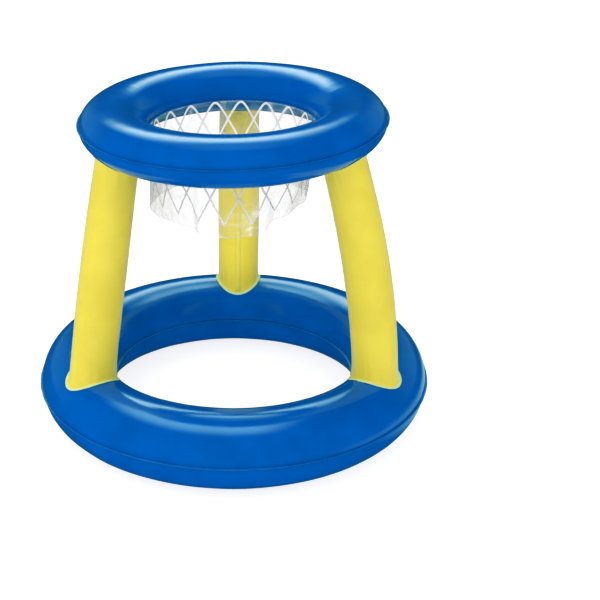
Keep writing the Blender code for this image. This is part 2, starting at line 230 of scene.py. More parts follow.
def add_node(tree, kind, links=None, **settings):
    """A node with the given settings, whose named inputs are linked or set."""
    node = tree.nodes.new(kind)
    for name, value in settings.items():
        setattr(node, name, value)
    for name, value in (links or {}).items():
        place = node.inputs[name]
        if isinstance(value, Field):
            value = value.socket
        if isinstance(value, bpy.types.NodeSocket):
            tree.links.new(value, place)
        else:
            place.default_value = value
    return node


def add_up(tree, first, second, surface):
    """Two shaders, added up on a surface or in the world."""
    both = add_node(tree, "ShaderNodeAddShader", {0: first, 1: second})
    tree.links.new(both.outputs["Shader"], surface)


def place_parts(tree, kind):
    """The right, back and up parts of a place on the object itself, or of a world direction."""
    coordinate = add_node(tree, "ShaderNodeTexCoord")
    split = add_node(tree, "ShaderNodeSeparateXYZ", {"Vector": coordinate.outputs[kind]})
    return [Field(tree, socket) for socket in split.outputs]


def ray_kinds(tree):
    """Whether a ray comes from the camera and whether it is mirrored, as fields of 0 or 1."""
    path = add_node(tree, "ShaderNodeLightPath")
    return [Field(tree, path.outputs[kind]) for kind in ("Is Camera Ray", "Is Glossy Ray")]


def stage_sheet(name, size, height, shader_tree):
    """A level square of the studio, not of the hoop, whose shader tree a function fills."""
    builder = bmesh.new()
    bmesh.ops.create_grid(builder, x_segments=1, y_segments=1, size=size)
    bmesh.ops.translate(builder, verts=builder.verts, vec=(0.0, 0.0, height))
    mesh = bpy.data.meshes.new(name)
    builder.to_mesh(mesh)
    builder.free()
    sheet = linked(name, mesh)
    material = bpy.data.materials.new(name)
    material.use_nodes = True
    tree = material.node_tree
    tree.nodes.clear()
    shader_tree(tree, add_node(tree, "ShaderNodeOutputMaterial").inputs["Surface"])
    mesh.materials.append(material)
    return sheet


def floor_shader(tree, surface):
    """Matt white, lifted a little where it is looked at, and dim in the vinyl's reflections."""
    seen, mirrored = ray_kinds(tree)
    right, back, _ = place_parts(tree, "Object")
    reach = (right * right + back * back).apply("SQRT")
    beside = right.smooth(*RIGHT_NEAR) * (1.0 - reach.smooth(*RIGHT_FAR))
    middle = 1.0 - reach.smooth(*MIDDLE_REACH)
    mirror_shade = beside * FLOOR_MIRRORED_RIGHT + middle * FLOOR_MIRRORED_MIDDLE + FLOOR_MIRRORED
    shade = seen * FLOOR_SEEN + (1.0 - seen - mirrored) * FLOOR_BOUNCE
    glow = (seen * FLOOR_SEEN_GLOW + mirrored * mirror_shade
            + (1.0 - seen - mirrored) * FLOOR_BOUNCE_GLOW)
    tint = [1.0 - mirrored * (1.0 - part) for part in MIRROR_TINT]
    diffuse = add_node(tree, "ShaderNodeBsdfDiffuse", {"Color": shade})
    lift = add_node(tree, "ShaderNodeEmission", {"Color": joined(*tint), "Strength": glow})
    add_up(tree, diffuse.outputs["BSDF"], lift.outputs["Emission"], surface)


def ring_light_shader(tree, surface):
    """A ring that shines down only, soft at its outer edge and off at the right."""
    right, back, _ = place_parts(tree, "Object")
    reach = (right * right + back * back).apply("SQRT")
    glow = (1.0 - reach.smooth(*RING_LIGHT_OUTSIDE)) * reach.smooth(*RING_LIGHT_INSIDE)
    glow = glow * (1.0 - right.smooth(*RING_LIGHT_RIGHT) * (1.0 - back.smooth(*RING_LIGHT_BACK)))
    slant = Field(tree, add_node(tree, "ShaderNodeLayerWeight").outputs["Facing"])
    below = Field(tree, add_node(tree, "ShaderNodeNewGeometry").outputs["Backfacing"])
    glow = glow * (1.0 - slant.smooth(*RING_LIGHT_GRID)) * below * RING_LIGHT_GLOW
    light = add_node(tree, "ShaderNodeEmission", {"Color": (*MIRROR_TINT, 1.0), "Strength": glow})
    clear = add_node(tree, "ShaderNodeBsdfTransparent")
    add_up(tree, light.outputs["Emission"], clear.outputs["BSDF"], surface)


def add_world():
    """White to look at, soft front light on matt surfaces, a window at the back in glossy ones."""
    world = bpy.data.worlds.new("soft_room")
    bpy.context.scene.world = world
    world.use_nodes = True
    world.cycles.sampling_method = "NONE"
    tree = world.node_tree
    tree.nodes.clear()
    seen, mirrored = ray_kinds(tree)
    right, back, up = place_parts(tree, "Generated")

    aside = right * math.cos(WINDOW_AZIMUTH) - back * math.sin(WINDOW_AZIMUTH)
    window = (1.0 - aside.magnitude().smooth(*WINDOW_HALF_WIDTH)) * up.smooth(*WINDOW_SILL)
    window = window * (1.0 - up.smooth(*WINDOW_TOP) * (1.0 - WINDOW_TOP_SHARE))
    window = window * back.smooth(*WINDOW_BACK)
    wall = back.smooth(*WALL_BACK) * (1.0 - up.smooth(*WALL_TOP))
    wall = wall * (right.magnitude().smooth(*WALL_SIDES) * (1.0 - WALL_MIDDLE_SHARE)
                   + WALL_MIDDLE_SHARE)
    mirror_light = window * WINDOW_GLOW + wall * WALL_GLOW
    aim = Vector(LIGHT_FROM).normalized()
    room_light = (right * aim.x + back * aim.y + up * aim.z).smooth(*LIGHT_SPREAD)
    room_light = room_light * LIGHT_AIMED + LIGHT_EVEN
    shown = []
    for colour, level in (((1.0, 1.0, 1.0), seen + (1.0 - seen - mirrored) * room_light),
                          (MIRROR_TINT, mirrored * mirror_light)):
        background = add_node(tree, "ShaderNodeBackground",
                              {"Color": (*colour, 1.0), "Strength": level})
        shown.append(background.outputs["Background"])
    add_up(tree, *shown, add_node(tree, "ShaderNodeOutputWorld").inputs["Surface"])


def add_fill_light():
    """A narrow soft light from the front that reaches the rear leg between the other two."""
    data = bpy.data.lights.new("fill_light", "SPOT")
    light = linked("fill_light", data)
    toward = Vector(FILL_AIM) - Vector(FILL_PLACE)
    turn = toward.to_track_quat("-Z", "Y").to_matrix().to_4x4()
    light.matrix_world = Matrix.Translation(FILL_PLACE) @ turn
    data.energy = FILL_WATTS
    data.spot_size = FILL_CONE
    data.spot_blend = FILL_SOFTNESS
    data.shadow_soft_size = FILL_RADIUS
    light.visible_glossy = False


add_world()
add_fill_light()
stage_sheet("pale_floor", FLOOR_HALF_SIZE, 0.0, floor_shader)
ring_light = stage_sheet("ring_light", RING_LIGHT_OUTSIDE[1], RING_LIGHT_HEIGHT,
                         ring_light_shader)
ring_light.visible_camera = False
ring_light.visible_diffuse = False
ring_light.visible_shadow = False
ring_light.visible_transmission = False


# The ring panels: four flat rings of blue sheet vinyl, an upper and a lower one for each inflated
# ring. Each pair is welded along its outer and its inner edge, so blown up it makes a round tube
# with a narrow flat weld on both sides, and the sheet gathers into fine puckers beside the welds.
SHEET = 0.0003
WELD_GAP = 0.0003
WELD_WIDTH = 0.003

BASE_RADIUS = 0.2473
BASE_TUBE = 0.0577

TOP_RADIUS = 0.1785
TOP_HALF_WIDTH = 0.0511
TOP_RISE = 0.0371
TOP_DROP = 0.0354
TOP_ROLL = math.radians(6.9)
TOP_HEIGHT = 0.4716
TOP_PITCH = math.radians(1.75)
TOP_BANK = math.radians(-1.15)

WELD_SHARE = 0.08
WELD_FADE = (0.1, 0.6)
SEAM_CROWDING = 0.75
WAVES_PER_METRE = 14.0
MERGE_DISTANCE = 0.00001

CLOUD_CUT = (0.3, 0.7)
PATCH_STRETCH = (1.7, 1.3, 2.1)
PATCH_CUT = (0.5, 0.68)
SCRATCH_STRETCHES = ((1.0, 0.05, 0.12), (0.07, 1.0, 0.2), (0.25, 0.4, 0.03))
SCRATCH_CUT = (0.66, 0.74)
SHEET_PITCHES = (0.0009, 0.06, 0.0022)
SHEET_BUMP = 0.5
SCRATCH_HEIGHT = 0.4
WELD_WEAR = 0.7
# Painted shade: how much darker the colour is made beside the welds, where the tube folds in.
PAINTED_CREASE_SHADE = 0.15
WORN_DULLNESS = 0.16
CLEAR_DULLNESS = 0.03
GRAIN_DULLNESS = 0.02

BASE_PLACE = Matrix.Translation((0.0, 0.0, BASE_TUBE - FLOOR_FLATTENING))
TOP_PLACE = (Matrix.Translation((0.0, 0.0, TOP_HEIGHT)) @ Matrix.Rotation(TOP_PITCH, 4, "X")
             @ Matrix.Rotation(TOP_BANK, 4, "Y"))


def noise(place, scale, detail=2.0, rough=0.5):
    """Smooth noise from -0.5 to 0.5 at a place."""
    node = add_node(place.id_data, "ShaderNodeTexNoise",
                    {"Vector": place, "Scale": scale, "Detail": detail, "Roughness": rough})
    return Field(node.id_data, node.outputs["Fac"]) - 0.5


def stored(tree, geometry, name, field):
    """The geometry with a field kept on its points under a name."""
    kept = add_node(tree, "GeometryNodeStoreNamedAttribute", {"Geometry": geometry, "Name": name},
                    data_type="FLOAT", domain="POINT")
    tree.links.new(field.socket, kept.inputs["Value"])
    return kept.outputs["Geometry"]


def new_tree(name, numbers, counts):
    """A Geometry Nodes tree with named inputs: the tree, its inputs as fields, and its output."""
    tree = bpy.data.node_groups.new(name, "GeometryNodeTree")
    sockets = tree.interface
    for label in numbers:
        sockets.new_socket(name=label, in_out="INPUT", socket_type="NodeSocketFloat")
    for label in counts:
        sockets.new_socket(name=label, in_out="INPUT", socket_type="NodeSocketInt")
    sockets.new_socket(name="Geometry", in_out="OUTPUT", socket_type="NodeSocketGeometry")
    entry = tree.nodes.new("NodeGroupInput")
    fields = {label: Field(tree, entry.outputs[label]) for label in (*numbers, *counts)}
    return tree, fields, tree.nodes.new("NodeGroupOutput").inputs["Geometry"]


def finish_tree(tree, geometry, output, material):
    """Close a tree with Realize Instances and Set Material."""
    real = add_node(tree, "GeometryNodeRealizeInstances", {"Geometry": geometry})
    dressed = add_node(tree, "GeometryNodeSetMaterial",
                       {"Geometry": real.outputs["Geometry"], "Material": material})
    tree.links.new(dressed.outputs["Geometry"], output)


def grown(name, tree, sizes, place=Matrix.Identity(4)):
    """A plain mesh object made by a tree with the given sizes, with its place in its mesh."""
    piece = linked(name, bpy.data.meshes.new(name))
    modifier = piece.modifiers.new(tree.name, "NODES")
    modifier.node_group = tree
    for item in tree.interface.items_tree:
        if item.in_out == "INPUT":
            modifier[item.identifier] = sizes[item.name]
    evaluated = piece.evaluated_get(bpy.context.evaluated_depsgraph_get())
    mesh = bpy.data.meshes.new_from_object(evaluated)
    piece.modifiers.remove(modifier)
    piece.data = mesh
    mesh.name = name
    mesh.transform(place)
    mesh.shade_smooth()
    return piece


def shader_group(name, inputs, outputs):
    """A shader node group with named inputs and outputs: its tree, its fields and its exits."""
    group = bpy.data.node_groups.new(name, "ShaderNodeTree")
    for label in ("Place", *inputs):
        kind = "NodeSocketVector" if label == "Place" else "NodeSocketFloat"
        group.interface.new_socket(name=label, in_out="INPUT", socket_type=kind)
    for label in outputs:
        group.interface.new_socket(name=label, in_out="OUTPUT", socket_type="NodeSocketFloat")
    entry = group.nodes.new("NodeGroupInput")
    fields = {label: Field(group, entry.outputs[label]) for label in ("Place", *inputs)}
    return group, fields, group.nodes.new("NodeGroupOutput").inputs


def stretched(place, pitch, stretch=(1.0, 1.0, 1.0)):
    """A place counted in pitches, with a pattern on it stretched where a share is under one."""
    scaled = add_node(place.tree, "ShaderNodeVectorMath", {0: place, 1: stretch},
                      operation="MULTIPLY")
    counted = add_node(place.tree, "ShaderNodeVectorMath",
                       {0: scaled.outputs[0], "Scale": 1.0 / pitch}, operation="SCALE")
    return counted.outputs[0]


def vinyl_surface():
    """Pressed grain, a cloudy unevenness of the colour, and fine rubbed scratches in patches."""
    group, size, exits = shader_group(
        "vinyl_surface", ("Grain Pitch", "Cloud Pitch", "Scratch Pitch"),
        ("Grain", "Cloud", "Scratches"))
    place = size["Place"]
    grain = noise(stretched(place, size["Grain Pitch"]), 1.0, detail=2.0, rough=0.6) + 0.5
    cloud = noise(stretched(place, size["Cloud Pitch"]), 1.0, detail=3.0, rough=0.55) + 0.5
    patches = noise(stretched(place, size["Cloud Pitch"], PATCH_STRETCH), 1.0) + 0.5
    scratches = 0.0
    for stretch in SCRATCH_STRETCHES:
        lines = noise(stretched(place, size["Scratch Pitch"], stretch), 1.0, detail=1.0) + 0.5
        scratches = scratches + lines.smooth(*SCRATCH_CUT)
    for label, field in (("Grain", grain), ("Cloud", cloud.smooth(*CLOUD_CUT)),
                         ("Scratches", scratches * patches.smooth(*PATCH_CUT))):
        group.links.new(field.clamped(0.0, 1.0).socket, exits[label])
    return group


SURFACE = vinyl_surface()


def new_material(name):
    """A material with its shader and its tree."""
    material = bpy.data.materials.new(name)
    material.use_nodes = True
    tree = material.node_tree
    return material, tree, tree.nodes["Principled BSDF"]


def surface_marks(tree, grain_pitch, cloud_pitch, scratch_pitch):
    """The vinyl surface's grain, cloud and scratches on a piece, as fields."""
    coordinate = add_node(tree, "ShaderNodeTexCoord")
    surface = add_node(tree, "ShaderNodeGroup", {
        "Place": coordinate.outputs["Object"], "Grain Pitch": grain_pitch,
        "Cloud Pitch": cloud_pitch, "Scratch Pitch": scratch_pitch}, node_tree=SURFACE)
    return [Field(tree, surface.outputs[label]) for label in ("Grain", "Cloud", "Scratches")]


def attribute(tree, name):
    """A piece's own attribute, as a field."""
    node = add_node(tree, "ShaderNodeAttribute", attribute_name=name)
    return Field(tree, node.outputs["Fac"])


def blended(share, first, second):
    """Three fields that go from one colour to another with a share, which is a field."""
    return [share * (b - a) + a for a, b in zip(first, second)]


def over(share, below, above):
    """A plain colour laid over three colour fields by a share, which is a field."""
    return [part + share * (top - part) for part, top in zip(below, above)]


def sheet_vinyl(name, deep, clear, pale, roughness, grain_depth, scratch_share):
    """Sheet vinyl: cloudy colour, pale worn welds, painted shade in the folds beside them, grain and
    scratches.
    """
    material, tree, shader = new_material(name)
    grain, cloud, scratches = surface_marks(tree, *SHEET_PITCHES)
    weld = attribute(tree, "weld")
    crease = attribute(tree, "crease")
    worn = weld * (cloud * (1.0 - WELD_WEAR) + WELD_WEAR) + scratches * scratch_share
    worn = worn.clamped(0.0, 1.0)
    colour = over(worn, blended(cloud, deep, clear), pale)
    # Painted shade: the colour darkens beside the welds, where the tube folds in to meet them.
    colour = [part * (1.0 - crease * PAINTED_CREASE_SHADE) for part in colour]
    tree.links.new(joined(*colour), shader.inputs["Base Color"])
    dull = worn * WORN_DULLNESS + (1.0 - cloud) * CLEAR_DULLNESS + grain * GRAIN_DULLNESS
    tree.links.new((dull + roughness).socket, shader.inputs["Roughness"])
    bump = add_node(tree, "ShaderNodeBump", {
        "Height": grain + scratches * SCRATCH_HEIGHT, "Strength": SHEET_BUMP,
        "Distance": grain_depth})
    tree.links.new(bump.outputs["Normal"], shader.inputs["Normal"])
    return material, shader


def blue_vinyl():
    """Glossy blue sheet vinyl."""
    material, _ = sheet_vinyl("blue_sheet_vinyl", deep=(0.0, 0.071, 0.350),
                              clear=(0.0, 0.086, 0.410), pale=(0.012, 0.115, 0.450),
                              roughness=0.13, grain_depth=0.00003, scratch_share=0.10)
    return material


def spot_parts(tree):
    """The three parts of the place of a mesh's point, as fields."""
    spot = add_node(tree, "GeometryNodeInputPosition")
    split = add_node(tree, "ShaderNodeSeparateXYZ", {"Vector": spot.outputs["Position"]})
    return [Field(tree, socket) for socket in split.outputs]


def panel_tree(material):
    """One half of a ring's tube wall, from weld to weld, with its flat welds and puckers."""
    tree, size, output = new_tree("ring_panel", (
        "Radius", "Half Width", "Height", "Roll", "Weld Width", "Back", "Side", "Start", "Floor",
        "Pucker Depth", "Pucker Reach", "Pucker Pitch", "Waviness", "Crease", "Weld Ripple"),
        ("Turns", "Steps"))
    grid = add_node(tree, "GeometryNodeMeshGrid", {
        "Size X": 1.0, "Size Y": 1.0,
        "Vertices X": size["Turns"] + 1, "Vertices Y": size["Steps"] + 1})
    turn_share, across_share, _ = spot_parts(tree)
    around = (turn_share + 0.5) * math.tau
    circle = (around.cos() * size["Radius"], around.sin() * size["Radius"])

    run = (across_share + 0.5) * (1 + 2 * WELD_SHARE) - WELD_SHARE
    arc = run.clamped(0.0, 1.0)
    past = (run - arc).magnitude() / WELD_SHARE
    arc = arc - (arc * math.tau).sin() * (SEAM_CROWDING / math.tau)
    angle = arc * math.pi + size["Start"]

    seam_distance = (0.5 - (arc - 0.5).magnitude()) * math.pi * size["Half Width"]
    fading = (seam_distance / -size["Pucker Reach"]).apply("EXPONENT")
    puckers = noise(joined(*circle, angle.cos() * size["Half Width"]), 1.0 / size["Pucker Pitch"],
                    detail=1.0)
    waves = noise(joined(*circle, angle.sin() * size["Half Width"]), WAVES_PER_METRE)
    ripple = noise(joined(*circle, 0.0), 1.0 / size["Pucker Pitch"], detail=1.0)
    sink = puckers * fading * size["Pucker Depth"] + waves * size["Waviness"]

    across = (size["Half Width"] + past * size["Weld Width"] - sink) * angle.cos()
    lift = ((size["Height"] - sink) * angle.sin()) ** 2.0 + size["Back"] * size["Back"]
    up = (lift.apply("SQRT") * size["Side"]).apply("MAXIMUM", size["Floor"])
    radius = size["Radius"] + across * size["Roll"].cos() - up * size["Roll"].sin()
    outer = angle.cos().clamped(0.0, 1.0)
    height = (across * size["Roll"].sin() + up * size["Roll"].cos()
              + ripple * size["Weld Ripple"] * past * outer)
    welded = past.smooth(*WELD_FADE)
    marked = stored(tree, grid.outputs["Mesh"], "weld", welded)
    # Painted shade beside the welds, fading with the distance from the seam.
    crease = (seam_distance / -size["Crease"]).apply("EXPONENT") * (1.0 - welded)
    marked = stored(tree, marked, "crease", crease)
    shaped = add_node(tree, "GeometryNodeSetPosition", {
        "Geometry": marked,
        "Position": joined(radius * around.cos(), radius * around.sin(), height)})
    closed = add_node(tree, "GeometryNodeMergeByDistance", {
        "Geometry": shaped.outputs["Geometry"], "Distance": MERGE_DISTANCE})
    finish_tree(tree, closed.outputs["Geometry"], output, material)
    return tree


def add_wall(piece, thickness):
    """Give a sheet its thickness, behind its modelled face."""
    wall = piece.modifiers.new("wall", "SOLIDIFY")
    wall.thickness = thickness
    wall.offset = -1.0


def add_panels():
    """The four panels."""
    tree = panel_tree(blue_vinyl())
    # Among these sizes is the reach of the painted shade beside the welds.
    shared = {"Weld Width": WELD_WIDTH, "Back": WELD_GAP / 2 + SHEET,
              "Pucker Depth": 0.0012, "Pucker Reach": 0.009, "Pucker Pitch": 0.011,
              "Waviness": 0.0012, "Crease": 0.0022, "Weld Ripple": 0.0010, "Turns": 640,
              "Steps": 48}
    base = {"Radius": BASE_RADIUS, "Half Width": BASE_TUBE, "Roll": 0.0,
            "Floor": FLOOR_FLATTENING - BASE_TUBE}
    top = {"Radius": TOP_RADIUS, "Half Width": TOP_HALF_WIDTH, "Roll": TOP_ROLL,
           "Floor": -TOP_HALF_WIDTH}
    for name, ring, height, place in (
            ("base_ring_upper", base, BASE_TUBE, BASE_PLACE),
            ("base_ring_lower", base, BASE_TUBE, BASE_PLACE),
            ("top_ring_upper", top, TOP_RISE, TOP_PLACE),
            ("top_ring_lower", top, TOP_DROP, TOP_PLACE)):
        side = 1.0 if name.endswith("upper") else -1.0
        sizes = {**shared, **ring, "Height": height, "Side": side,
                 "Start": 0.0 if side > 0 else math.pi}
        piece = grown(name, tree, sizes, place)
        add_wall(piece, SHEET)
        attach(piece, "hoop")
        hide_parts(f"{name}_panel")


add_panels()


# The legs: three air tubes of yellow sheet vinyl. Each is rolled from one sheet with a lap weld
# that faces the hoop's axis, and its ends are turned out into flat rims welded to both rings.
LEG_FOOT = 0.034
LEG_MIDDLE = 0.0346
LEG_HEAD = 0.0320
LEG_BOW = 0.004
LEG_HEAD_SHARE = 0.88
FOOT_INSET = 0.0015
FOOT_STRETCH = 0.0045
FOOT_STRETCH_OUTSIDE = 0.45
FOOT_STRETCH_SHARE = 0.05
SLOPE_STEP = 0.01

# Each leg's name, the azimuths of its foot and its head, and its share of the bow.
LEGS = (("leg_rear", math.radians(88), math.radians(87), 1.0),
        ("leg_left", math.radians(210), math.radians(208.5), 0.4),
        ("leg_right", math.radians(329.8), math.radians(326), 2.8))
LEG_COLUMNS = 108
LEG_ROWS = 64
ROW_CROWDING = 0.6
RIM_WIDTH = 0.0038
RIM_ROWS = 3
RIM_LIFT = SHEET + WELD_GAP
RIM_CURL = 0.0006
FOOT_SEARCH = (0.3, -0.3)
HEAD_SEARCH = (0.7, 1.3)
SEARCH_STEPS = 60
FLARE = 0.0012
FLARE_SHARE = 0.008
LEG_PUCKER = 0.00035
LEG_PUCKER_SHARE = 0.028
LEG_PUCKERS = ((9, 1.0), (14, 0.8), (23, 0.5))
PUCKER_TWIST = 9.0
LAP_WIDTH = 0.009
LAP_COLUMNS = 4
LAP_END_SHARE = 0.012
LAP_MARK = 0.15


def direction(azimuth):
    """The level unit vector that points out from the hoop's axis."""
    return Vector((math.cos(azimuth), math.sin(azimuth), 0.0))


def leg_line(foot_azimuth, head_azimuth, bow_share):
    """A leg's axis by the share of its height, from one ring's crown to the other's underside."""
    head_room = TOP_HALF_WIDTH - LEG_HEAD - RIM_WIDTH
    head_reach = TOP_RADIUS + LEG_HEAD_SHARE * head_room
    foot_reach = BASE_RADIUS - FOOT_INSET
    foot = BASE_PLACE @ (direction(foot_azimuth) * foot_reach + Vector((0, 0, BASE_TUBE)))
    head = TOP_PLACE @ (direction(head_azimuth) * head_reach - Vector((0, 0, TOP_DROP)))
    outward = direction((foot_azimuth + head_azimuth) / 2)
    return lambda share: (foot.lerp(head, share)
                          + outward * 4 * share * (1 - share) * LEG_BOW * bow_share)


def leg_place(line, foot_azimuth, share, angle, growth):
    """A place on a leg's wall and the way out of it; angle 0 is the side away from the axis."""
    along = (line(share + SLOPE_STEP) - line(share - SLOPE_STEP)).normalized()
    outward = direction(foot_azimuth + math.pi / 2).cross(along).normalized()
    sideways = along.cross(outward)
    fullness = LEG_MIDDLE - (LEG_FOOT + LEG_HEAD) / 2
    radius = LEG_FOOT + (LEG_HEAD - LEG_FOOT) * share + 4 * share * (1 - share) * fullness
    away = outward * math.cos(angle) + sideways * math.sin(angle)
    return line(share) + away * (radius + growth), away


def landing(skin, line, foot_azimuth, angle, search, growth):
    """The share, between two others, at which a line along a leg's wall meets a ring's skin."""
    start, stop = search
    stride = (stop - start) / SEARCH_STEPS
    here = leg_place(line, foot_azimuth, start, angle, growth)[0]
    for step in range(1, SEARCH_STEPS + 1):
        share = start + stride * step
        there = leg_place(line, foot_azimuth, share, angle, growth)[0]
        run = there - here
        hit = skin.ray_cast(here, run.normalized(), run.length)[0]
        if hit is not None:
            return share - stride + stride * (hit - here).length / run.length
        here = there
    raise ValueError("a leg's wall misses its ring")


def rim_points(skin, edge, away):
    """Points out along a ring's skin from the leg's edge, lifted clear of it, slightly curled."""
    points = []
    for row in range(1, RIM_ROWS + 1):
        share = row / RIM_ROWS
        near, normal = skin.find_nearest(edge + away * RIM_WIDTH * share)[:2]
        points.append(near + normal * (RIM_LIFT + RIM_CURL * share ** 3))
    return points


def foot_stretch(angle):
    """How much longer a foot is than the tube above it, most of it on the side of the axis."""
    across = math.cos(angle)
    return FOOT_STRETCH * across ** 2 * (FOOT_STRETCH_OUTSIDE if across > 0 else 1.0)


def leg_growth(angle, share, ends, foot_azimuth):
    """How far the wall stands out: wide feet, flared welded ends, and puckers near them."""
    from_end = max(min(share - ends[0], ends[1] - share), 0.0)
    gathered = sum(part * math.sin(count * (angle + foot_azimuth) + PUCKER_TWIST * share)
                   for count, part in LEG_PUCKERS)
    reach = from_end / LEG_PUCKER_SHARE
    above_foot = max(share - ends[0], 0.0)
    return (FLARE * math.exp(-from_end / FLARE_SHARE)
            + foot_stretch(angle) * math.exp(-above_foot / FOOT_STRETCH_SHARE)
            + LEG_PUCKER * gathered * reach * math.exp(1 - reach))


def wall_columns(line, foot_azimuth, base_skin, top_skin):
    """Columns of points round a leg, from rim to rim, and the shares where each meets the rings."""
    columns = []
    ends = []
    for column in range(LEG_COLUMNS):
        angle = math.tau * column / LEG_COLUMNS
        foot_growth = FLARE + foot_stretch(angle)
        low = landing(base_skin, line, foot_azimuth, angle, FOOT_SEARCH, foot_growth)
        high = landing(top_skin, line, foot_azimuth, angle, HEAD_SEARCH, FLARE)
        edge, away = leg_place(line, foot_azimuth, low, angle, foot_growth)
        points = list(reversed(rim_points(base_skin, edge, away)))
        for row in range(LEG_ROWS + 1):
            spread = row / LEG_ROWS
            spread -= ROW_CROWDING * math.sin(math.tau * spread) / math.tau
            share = low + (high - low) * spread
            growth = leg_growth(angle, share, (low, high), foot_azimuth)
            point = leg_place(line, foot_azimuth, share, angle, growth)[0]
            clear = {0: RIM_LIFT, LEG_ROWS: -RIM_LIFT}.get(row, 0.0)
            points.append(point + Vector((0, 0, clear)))
        edge, away = leg_place(line, foot_azimuth, high, angle, FLARE)
        points += rim_points(top_skin, edge, away)
        columns.append(points)
        ends.append((low, high))
    return columns, ends


def lap_columns(line, foot_azimuth, ends):
    """Columns of points of the lap weld's outer sheet, on the side that faces the axis."""
    low, high = ends[0] + LAP_END_SHARE, ends[1] - LAP_END_SHARE
    columns = []
    for column in range(LAP_COLUMNS):
        angle = math.pi + LAP_WIDTH / LEG_MIDDLE * (column / (LAP_COLUMNS - 1) - 0.5)
        points = []
        for row in range(LEG_ROWS + 1):
            share = low + (high - low) * row / LEG_ROWS
            growth = leg_growth(angle, share, ends, foot_azimuth) + SHEET + WELD_GAP / 2
            points.append(leg_place(line, foot_azimuth, share, angle, growth)[0])
        columns.append(points)
    return columns


def lay_sheet(builder, columns, closed, mark):
    """Faces over columns of points; mark tells how welded a point is from its column and row."""
    weld = builder.verts.layers.float["weld"]
    verts = [[builder.verts.new(point) for point in column] for column in columns]
    for number, column in enumerate(verts):
        for row, vert in enumerate(column):
            vert[weld] = mark(number, row)
    for number in range(len(verts) if closed else len(verts) - 1):
        here, there = verts[number], verts[(number + 1) % len(verts)]
        for low in range(len(here) - 1):
            builder.faces.new((here[low], there[low], there[low + 1], here[low + 1]))


def leg_mesh(name, foot_azimuth, head_azimuth, bow_share, base_skin, top_skin):
    """The leg's sheet: the rim at the foot, the wall, the rim at the head, and the lap weld."""
    line = leg_line(foot_azimuth, head_azimuth, bow_share)
    columns, ends = wall_columns(line, foot_azimuth, base_skin, top_skin)
    lap = lap_columns(line, foot_azimuth, ends[LEG_COLUMNS // 2])
    last = LEG_ROWS + RIM_ROWS
    builder = bmesh.new()
    builder.verts.layers.float.new("weld")
    lay_sheet(builder, columns, True, lambda column, row: 0.0 if RIM_ROWS < row < last else 1.0)
    lay_sheet(builder, lap, False,
              lambda column, row: LAP_MARK if column in (0, LAP_COLUMNS - 1) else 0.0)
    mesh = bpy.data.meshes.new(name)
    builder.to_mesh(mesh)
    builder.free()
    mesh.shade_smooth()
    return mesh


def yellow_vinyl():
    """Satin yellow sheet vinyl, a little paler at grazing angles."""
    material, shader = sheet_vinyl("yellow_sheet_vinyl", deep=(0.635, 0.540, 0.036),
                                   clear=(0.695, 0.598, 0.047), pale=(0.56, 0.72, 0.36),
                                   roughness=0.30, grain_depth=0.00004, scratch_share=0.08)
    shader.inputs["Sheen Weight"].default_value = 0.35
    shader.inputs["Sheen Roughness"].default_value = 0.35
    return material


def skin_of(name):
    """The outer skin of a finished piece, to land other pieces on."""
    return BVHTree.FromObject(bpy.data.objects[name], bpy.context.evaluated_depsgraph_get())


def add_legs():
    """The three legs."""
    material = yellow_vinyl()
    base_skin = skin_of("base_ring_upper")
    top_skin = skin_of("top_ring_lower")
    for name, foot_azimuth, head_azimuth, bow_share in LEGS:
        piece_name = f"{name}_tube"
        mesh = leg_mesh(piece_name, foot_azimuth, head_azimuth, bow_share, base_skin, top_skin)
        mesh.materials.append(material)
        piece = linked(piece_name, mesh)
        add_wall(piece, SHEET)
        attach(piece, "hoop")
        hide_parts(name)


add_legs()


# The net: a sleeve of clear film closed by a lap weld left of the rear, and welded all round
# below the top ring's inner seam, where it hangs free. Its net is printed on the inside in white
# ink: nineteen arches of crossing lines. Folding for storage left it crinkled and tucked in.
NET_HEIGHT = 0.127
FILM = 0.0003
HEM_WIDTH = 0.0025
HEM_TOP = -(WELD_GAP / 2 + SHEET + WELD_GAP)
FILM_FOLDS = ((5, 0.45, 0.6), (8, 0.7, 2.1), (13, 0.35, 4.0))
FOLD_DEPTH = 0.0030
FOLD_POWER = 1.5
CRUMPLE_DEPTH = 0.0045
CRUMPLE_PITCH = 0.032
CRUMPLE_DROP = 0.8
CRUMPLE_POWER = 0.6
FILM_TUCKS = (
    {"centre": 338, "sides": (43, 42), "edges": (15, 50), "depth": 0.017, "lift": 0.013},
    {"centre": 225, "sides": (20, 18), "edges": (26, 9), "depth": 0.014, "lift": 0.005},
)
FILM_LAP_AZIMUTH = math.radians(97)
FILM_LAP_WIDTH = 0.009
HEM_MARK = 0.35
WELD_ROWS = 1.5

# Each set of crinkles in the film, whose lines are also whitened as painted glints: its pitch, its
# stretch and its share.
CRINKLE_AND_GLINT_SETS = ((0.050, (1.0, 1.0, 0.5), 0.6), (0.024, (0.7, 1.0, 0.9), 0.4))
CRINKLE_SHARPNESS = 14.0
CRINKLE_BUMP = 0.6
CRINKLE_HEIGHT = 0.0006
CRINKLE_DULLNESS = 0.12
FILM_ROUGHNESS = 0.12
FILM_CLEAR = (0.33, 0.345, 0.38)
# The milky colour and the crinkles' share of the cover make painted glints on crinkle lines; at the
# welds they are the film's own haze.
FILM_MILKY_AND_GLINT = (0.90, 0.92, 0.94)
WELD_HAZE = 0.5
EDGE_BLEND = 0.35
EDGE_COVER = 0.30
CRINKLE_GLINT_COVER = 0.20
WELD_COVER = 0.20
FILM_COVER = 0.07
MOST_COVER = 0.85

